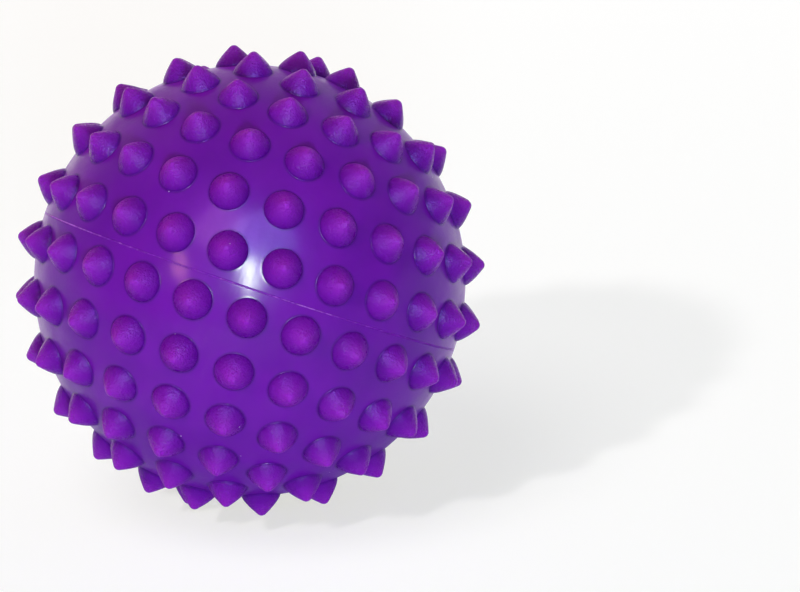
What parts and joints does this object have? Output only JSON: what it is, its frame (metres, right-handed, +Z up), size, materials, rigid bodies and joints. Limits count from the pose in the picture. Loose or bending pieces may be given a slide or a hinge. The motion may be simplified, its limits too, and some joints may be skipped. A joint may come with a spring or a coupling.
{
  "type": "sensory ball",
  "caption": "Hollow soft ball covered in blunt conical spikes, moulded in half shells welded at a seam, with a plugged air valve; for gripping, rolling and squeezing.",
  "frame": {"origin": "on the surface that the ball rests on, straight below the ball's centre", "axes": "+Z up from that surface; -Y towards the side that the picture shows, +X to its right"},
  "size_m": [0.0981, 0.0978, 0.0975],
  "materials": {
    "shell": "glossy soft PVC between the spikes, finely matt on the spikes",
    "weld": "thin uneven weld flash, paler than the shell",
    "valve": "satin",
    "plug": "satin, slightly milky"
  },
  "bodies": {
    "ball": {"upper_shell": "shell", "lower_shell": "shell", "seam_weld": "weld", "valve_seat": "valve"},
    "plug": {"valve_plug": "plug"}
  },
  "joints": [
    {"name": "plug_pull", "type": "slide", "parent": "ball", "child": "plug", "axis": [0.2808, 0.9212, 0.2693], "range_m": [0, 0.009]}
  ]
}
